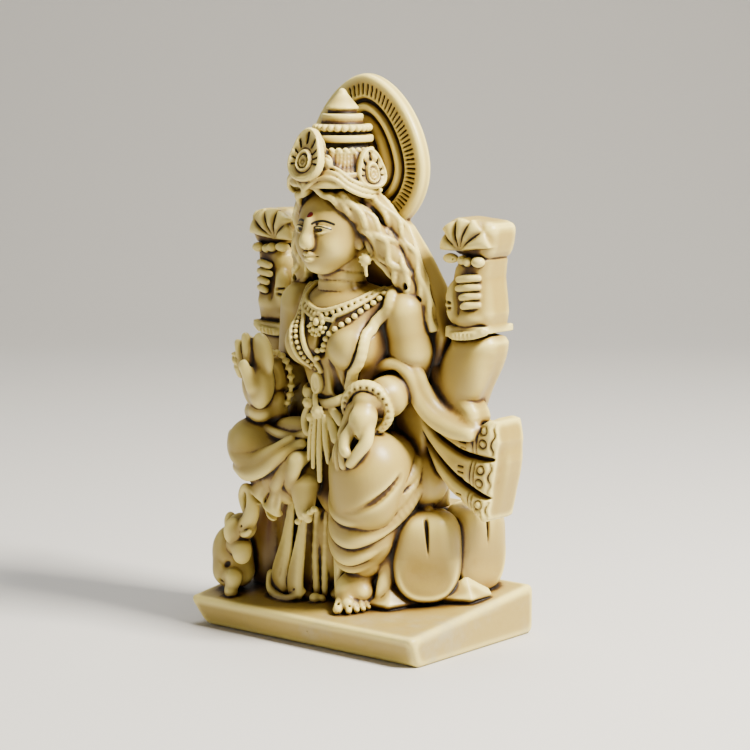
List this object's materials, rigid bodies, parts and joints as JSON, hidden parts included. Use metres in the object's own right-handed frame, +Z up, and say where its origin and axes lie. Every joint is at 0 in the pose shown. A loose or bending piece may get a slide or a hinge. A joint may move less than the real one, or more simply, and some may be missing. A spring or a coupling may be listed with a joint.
{
  "type": "seated deity figurine",
  "caption": "Cast resin figurine of a seated four-armed deity on a lotus throne, with a halo and a small elephant, on a wedge plinth.",
  "frame": {"origin": "centre of the plinth's underside", "axes": "+Z up, -Y the side the figure faces, +X the figure's left"},
  "size_m": [0.0642, 0.04, 0.114],
  "materials": {
    "resin_plinth": "satin cast resin with faint grey marbling",
    "resin_petal": "satin cast resin, brown wash in the grooves",
    "resin_hair": "satin cast resin, heavy brown wash between the locks",
    "resin_skin": "satin cast resin, light wash",
    "resin_ornament": "satin cast resin, brown wash round the beads",
    "resin_elephant": "satin cast resin, brown wash",
    "resin_cloth": "satin cast resin, brown wash in the folds"
  },
  "bodies": {
    "root": {"plinth": "resin_plinth", "earring_left": "resin_ornament", "crown_side_rosette_left": "resin_ornament", "earring_right": "resin_ornament", "crown_side_rosette_right": "resin_ornament", "crown_front_rosette": "resin_ornament", "left_bracelet": "resin_ornament", "right_bracelet": "resin_ornament", "choker": "resin_ornament", "necklace": "resin_ornament", "belt_knot": "resin_ornament", "sari_band": "resin_cloth", "belt": "resin_ornament", "lotus_seat": "resin_petal", "hair_mantle": "resin_hair", "halo": "resin_ornament", "torso": "resin_cloth", "left_hand": "resin_skin", "right_hand": "resin_skin", "left_foot": "resin_skin", "right_foot": "resin_skin", "head": "resin_skin", "crown_base": "resin_ornament", "crown_tiers": "resin_ornament", "crown_finial": "resin_ornament", "neck": "resin_skin", "hair_left": "resin_hair", "hair_right": "resin_hair", "hair_cap": "resin_hair", "left_forearm": "resin_skin", "right_forearm": "resin_skin", "left_upper_arm": "resin_skin", "right_upper_arm": "resin_skin", "shawl_loop": "resin_cloth", "rear_left_bracelet": "resin_ornament", "rear_left_hand": "resin_skin", "rear_left_lotus": "resin_petal", "rear_left_arm": "resin_skin", "rear_right_bracelet": "resin_ornament", "rear_right_hand": "resin_skin", "rear_right_lotus": "resin_petal", "rear_right_arm": "resin_skin", "shawl_left": "resin_cloth", "shawl_right": "resin_cloth", "left_thigh": "resin_cloth", "left_drape": "resin_cloth", "right_leg": "resin_cloth", "right_drape": "resin_cloth", "front_pleats": "resin_cloth", "pleat_strip": "resin_cloth", "hips": "resin_cloth", "elephant_head": "resin_elephant", "elephant_body": "resin_elephant", "petal_left_front": "resin_petal", "petal_left_side": "resin_petal", "petal_left_back": "resin_petal", "petal_right_front": "resin_petal", "petal_right_side": "resin_petal", "petal_right_back": "resin_petal"}
  },
  "joints": []
}
